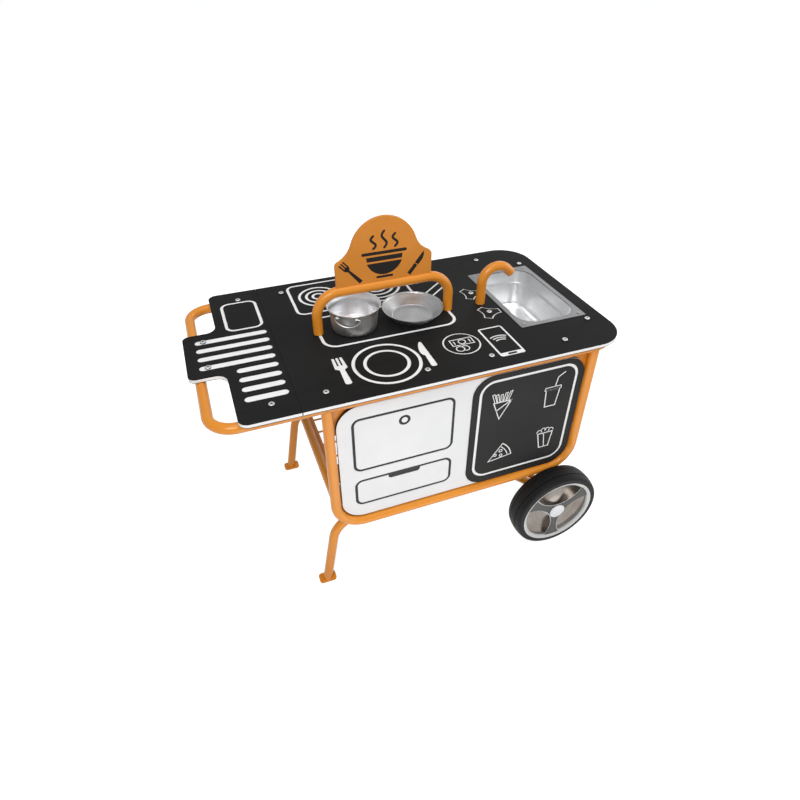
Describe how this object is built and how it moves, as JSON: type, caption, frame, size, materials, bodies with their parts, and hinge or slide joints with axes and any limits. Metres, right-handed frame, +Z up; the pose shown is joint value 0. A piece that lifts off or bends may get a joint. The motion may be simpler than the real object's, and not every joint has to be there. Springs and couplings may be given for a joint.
{
  "type": "street food station",
  "caption": "Wheeled street food play station: bent tube frame with push handle, kitchen worktop with sink, faucet, pot, pan and arched sign, front panel with menu board, wire shelf.",
  "frame": {"origin": "floor level under the middle of the whole station's box", "axes": "+X along the worktop from the push handle to the sink, +Y from the panel to the open back, +Z up"},
  "size_m": [0.878, 0.592, 0.783],
  "materials": {
    "orange_tube": "semi-gloss powder coat",
    "black_skin": "matt, fine grain",
    "white_core": "matt",
    "dark_core": "matt",
    "white_skin": "satin, fine grain",
    "orange_board": "satin",
    "steel": "spun and brushed",
    "tyre": "matt",
    "rim": "metallised gloss",
    "spokes": "satin",
    "hub_cap": "gloss",
    "bush": "plain",
    "fixings": "stainless"
  },
  "bodies": {
    "cart": {"arch": "orange_tube", "arch_bolts": "fixings", "arch_plugs": "bush", "axle_nuts": "fixings", "axle_plugs": "bush", "axle_rod": "fixings", "axle_tube": "orange_tube", "axle_washers": "fixings", "corner_gussets": "orange_tube", "faucet": "orange_tube", "faucet_plate": "orange_tube", "front_foot": "orange_tube", "front_frame": "orange_tube", "front_panel": "dark_core", "front_panel_skin": "white_skin", "front_sled": "orange_tube", "handle_loop": "orange_tube", "left_cross_tube": "orange_tube", "menu_board": "white_core", "menu_skin": "black_skin", "pan": "steel", "panel_lugs": "orange_tube", "panel_screws": "fixings", "pot": "steel", "pot_lugs": "steel", "rear_foot": "orange_tube", "rear_frame": "orange_tube", "rear_sled": "orange_tube", "right_cross_tube": "orange_tube", "shelf_grid": "orange_tube", "sign_board": "orange_board", "sign_screws": "fixings", "sign_tabs": "orange_tube", "sink_pan": "steel", "sink_screws": "fixings", "vessel_nuts": "fixings", "vessel_studs": "fixings", "worktop_left": "white_core", "worktop_left_skin": "black_skin", "worktop_lugs": "orange_tube", "worktop_main": "white_core", "worktop_main_skin": "black_skin", "worktop_nuts": "fixings", "worktop_screws": "fixings"},
    "front_wheel": {"front_tyre": "tyre", "front_rim": "rim", "front_spokes": "spokes", "front_hub_cap": "hub_cap", "front_bushes": "bush"},
    "rear_wheel": {"rear_tyre": "tyre", "rear_rim": "rim", "rear_spokes": "spokes", "rear_hub_cap": "hub_cap", "rear_bushes": "bush"},
    "front_pot_handle": {"front_pot_handle": "steel"},
    "rear_pot_handle": {"rear_pot_handle": "steel"}
  },
  "joints": [
    {"name": "front_wheel_spin", "type": "hinge", "parent": "cart", "child": "front_wheel", "pos_m": [0.3146, -0.2678, 0.109], "axis": [0, 1, 0], "continuous": true},
    {"name": "rear_wheel_spin", "type": "hinge", "parent": "cart", "child": "rear_wheel", "pos_m": [0.3146, 0.2678, 0.109], "axis": [0, 1, 0], "continuous": true},
    {"name": "front_pot_handle_swing", "type": "hinge", "parent": "cart", "child": "front_pot_handle", "pos_m": [-0.1156, -0.04781, 0.599], "axis": [-0.866, 0.5, 0], "range_deg": [0, 110]},
    {"name": "rear_pot_handle_swing", "type": "hinge", "parent": "cart", "child": "rear_pot_handle", "pos_m": [-0.0604, 0.04781, 0.599], "axis": [0.866, -0.5, 0], "range_deg": [0, 110]}
  ]
}
